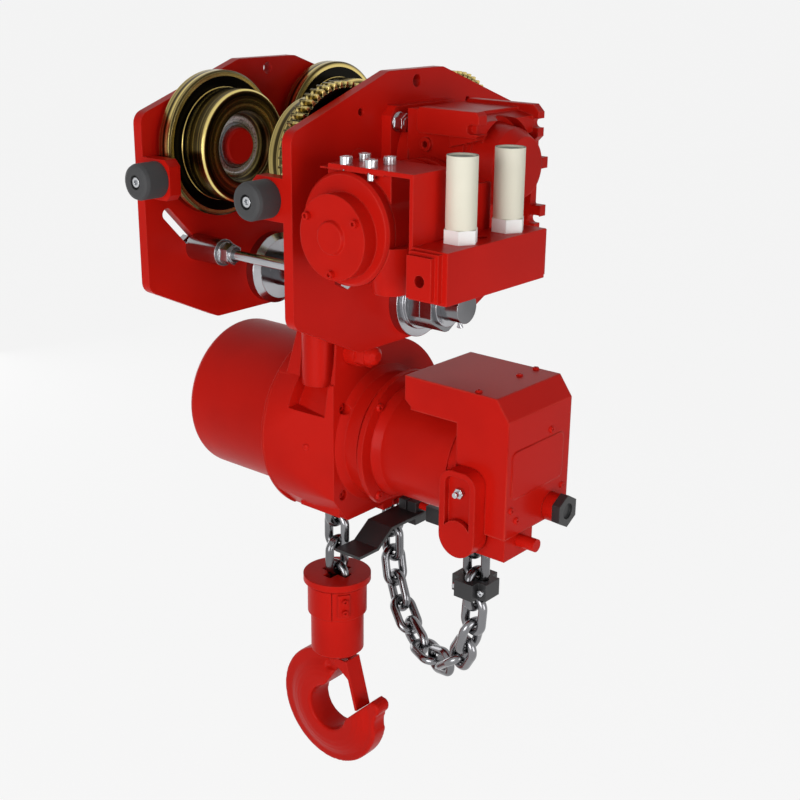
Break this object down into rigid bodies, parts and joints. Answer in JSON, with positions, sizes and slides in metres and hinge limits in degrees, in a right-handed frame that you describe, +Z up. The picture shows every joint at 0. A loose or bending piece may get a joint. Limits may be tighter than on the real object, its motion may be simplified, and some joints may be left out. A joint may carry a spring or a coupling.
{
  "type": "air hoist with trolley",
  "caption": "Compressed-air chain hoist hanging from a motor-driven beam trolley, with a load chain, a hook block and a swivel hook with a latch.",
  "frame": {"origin": "on the running surface of the beam flange, midway between the side plates and between the wheels", "axes": "+X across the beam towards the travel motor, +Y along the beam away from the manifold, +Z up"},
  "size_m": [0.56, 0.462, 0.9415],
  "materials": {
    "red_paint": "glossy signal red paint on castings and plate",
    "bright_steel": "bright steel",
    "dark_steel": "dark polished steel",
    "yellow_zinc": "turned steel with a yellow zinc coat",
    "black": "black oxide",
    "rubber": "matte dark grey rubber",
    "ivory": "ivory sintered plastic",
    "bronze": "bronze"
  },
  "bodies": {
    "trolley": {"drive_plate": "red_paint", "idle_plate": "red_paint", "bumpers": "rubber", "trolley_screws": "bright_steel", "wheel_axles": "red_paint", "wheel_bearings": "bright_steel", "load_bar": "dark_steel", "bar_rings": "bright_steel", "bar_nuts": "dark_steel", "guard_rod": "dark_steel", "rod_sleeve": "dark_steel", "stud_nuts": "dark_steel", "adapter_plate": "red_paint", "gearbox_case": "red_paint", "gearbox_cover": "red_paint", "travel_motor_case": "red_paint", "travel_motor_cover": "red_paint", "travel_cover_screws": "red_paint", "manifold_bracket": "red_paint", "manifold": "red_paint", "mufflers": "ivory"},
    "drive_shaft": {"output_shaft": "bright_steel", "worm_wheel": "bronze"},
    "drive_wheel_front": {"drive_wheel_front": "yellow_zinc"},
    "drive_wheel_rear": {"drive_wheel_rear": "yellow_zinc"},
    "idle_wheel_front": {"idle_wheel_front": "yellow_zinc"},
    "idle_wheel_rear": {"idle_wheel_rear": "yellow_zinc"},
    "worm": {"worm_shaft": "bright_steel", "travel_rotor": "bright_steel"},
    "eye": {"suspension_eye": "dark_steel"},
    "hoist": {"suspension_pin": "red_paint", "chain_housing": "red_paint", "housing_screws": "red_paint", "gear_case": "red_paint", "motor_flange": "red_paint", "motor_case": "red_paint", "control_box": "red_paint", "box_cover": "red_paint", "breather": "bright_steel", "end_plug": "black", "anchor_pin": "red_paint", "slack_chain": "dark_steel", "chain_stop": "black", "stop_bolts": "bright_steel", "shaft_bearings": "bright_steel"},
    "carrier": {"load_wheel": "bright_steel"},
    "rotor": {"hoist_rotor": "bright_steel"},
    "planet_1": {"planet_gear_1": "bright_steel"},
    "planet_2": {"planet_gear_2": "bright_steel"},
    "planet_3": {"planet_gear_3": "bright_steel"},
    "lever": {"limit_rod": "red_paint", "limit_lever": "black"},
    "block": {"load_chain": "dark_steel", "hook_block": "red_paint", "block_shells": "red_paint", "block_fasteners": "red_paint", "thrust_bearing": "bright_steel"},
    "hook": {"hook": "red_paint", "latch_pin": "red_paint"},
    "latch": {"latch": "red_paint"}
  },
  "joints": [
    {"name": "worm_spin", "type": "hinge", "parent": "trolley", "child": "worm", "pos_m": [0.191, 0, 0.01], "axis": [0, 1, 0], "continuous": true},
    {"name": "drive_shaft_spin", "type": "hinge", "parent": "trolley", "child": "drive_shaft", "pos_m": [0.19, 0, 0.065], "axis": [1, 0, 0], "continuous": true},
    {"name": "drive_wheel_front_spin", "type": "hinge", "parent": "trolley", "child": "drive_wheel_front", "pos_m": [0.08, -0.0975, 0.065], "axis": [1, 0, 0], "continuous": true},
    {"name": "drive_wheel_rear_spin", "type": "hinge", "parent": "trolley", "child": "drive_wheel_rear", "pos_m": [0.08, 0.0975, 0.065], "axis": [1, 0, 0], "continuous": true},
    {"name": "idle_wheel_front_spin", "type": "hinge", "parent": "trolley", "child": "idle_wheel_front", "pos_m": [-0.08, -0.0975, 0.065], "axis": [1, 0, 0], "continuous": true},
    {"name": "idle_wheel_rear_spin", "type": "hinge", "parent": "trolley", "child": "idle_wheel_rear", "pos_m": [-0.08, 0.0975, 0.065], "axis": [1, 0, 0], "continuous": true},
    {"name": "eye_swing", "type": "hinge", "parent": "trolley", "child": "eye", "pos_m": [0, 0, -0.102], "axis": [1, 0, 0], "range_deg": [-8, 8]},
    {"name": "hoist_tilt", "type": "hinge", "parent": "eye", "child": "hoist", "pos_m": [0, 0, -0.187], "axis": [1, 0, 0], "range_deg": [-6, 6]},
    {"name": "load_wheel_spin", "type": "hinge", "parent": "hoist", "child": "carrier", "pos_m": [0, 0.05856, -0.31], "axis": [1, 0, 0], "range_deg": [0, 35]},
    {"name": "hook_travel", "type": "slide", "parent": "hoist", "child": "block", "axis": [0, 0, 1], "range_m": [-0.036, 0]},
    {"name": "rotor_spin", "type": "hinge", "parent": "hoist", "child": "rotor", "pos_m": [0.1, 0.05856, -0.31], "axis": [1, 0, 0], "range_deg": [-1, 169]},
    {"name": "planet_1_spin", "type": "hinge", "parent": "carrier", "child": "planet_1", "pos_m": [-0.13, 0.11256, -0.31], "axis": [1, 0, 0], "range_deg": [-96, 1]},
    {"name": "planet_2_spin", "type": "hinge", "parent": "carrier", "child": "planet_2", "pos_m": [-0.13, 0.03156, -0.26323], "axis": [1, 0, 0], "range_deg": [-96, 1]},
    {"name": "planet_3_spin", "type": "hinge", "parent": "carrier", "child": "planet_3", "pos_m": [-0.13, 0.03156, -0.35677], "axis": [1, 0, 0], "range_deg": [-96, 1]},
    {"name": "limit_lever_swing", "type": "hinge", "parent": "hoist", "child": "lever", "pos_m": [0.1, 0.104, -0.421], "axis": [1, 0, 0], "range_deg": [-4, 4], "stiffness_Nm_per_rad": 15},
    {"name": "hook_swivel", "type": "hinge", "parent": "block", "child": "hook", "pos_m": [0, 0, -0.6], "axis": [0, 0, 1], "continuous": true},
    {"name": "latch_swing", "type": "hinge", "parent": "hook", "child": "latch", "pos_m": [0.005, 0, -0.626], "axis": [0, 1, 0], "range_deg": [0, 35], "stiffness_Nm_per_rad": 0.3, "springref_deg": -17.19}
  ],
  "couplings": [
    {"joint": "drive_wheel_front_spin", "follows": "worm_spin", "ratio": -0.0063657},
    {"joint": "drive_wheel_rear_spin", "follows": "worm_spin", "ratio": -0.0063657},
    {"joint": "drive_shaft_spin", "follows": "worm_spin", "ratio": 0.03125},
    {"joint": "hook_travel", "follows": "load_wheel_spin", "m_per_rad": -0.058562},
    {"joint": "rotor_spin", "follows": "load_wheel_spin", "ratio": 4.8},
    {"joint": "planet_1_spin", "follows": "load_wheel_spin", "ratio": -2.7143},
    {"joint": "planet_2_spin", "follows": "load_wheel_spin", "ratio": -2.7143},
    {"joint": "planet_3_spin", "follows": "load_wheel_spin", "ratio": -2.7143}
  ]
}
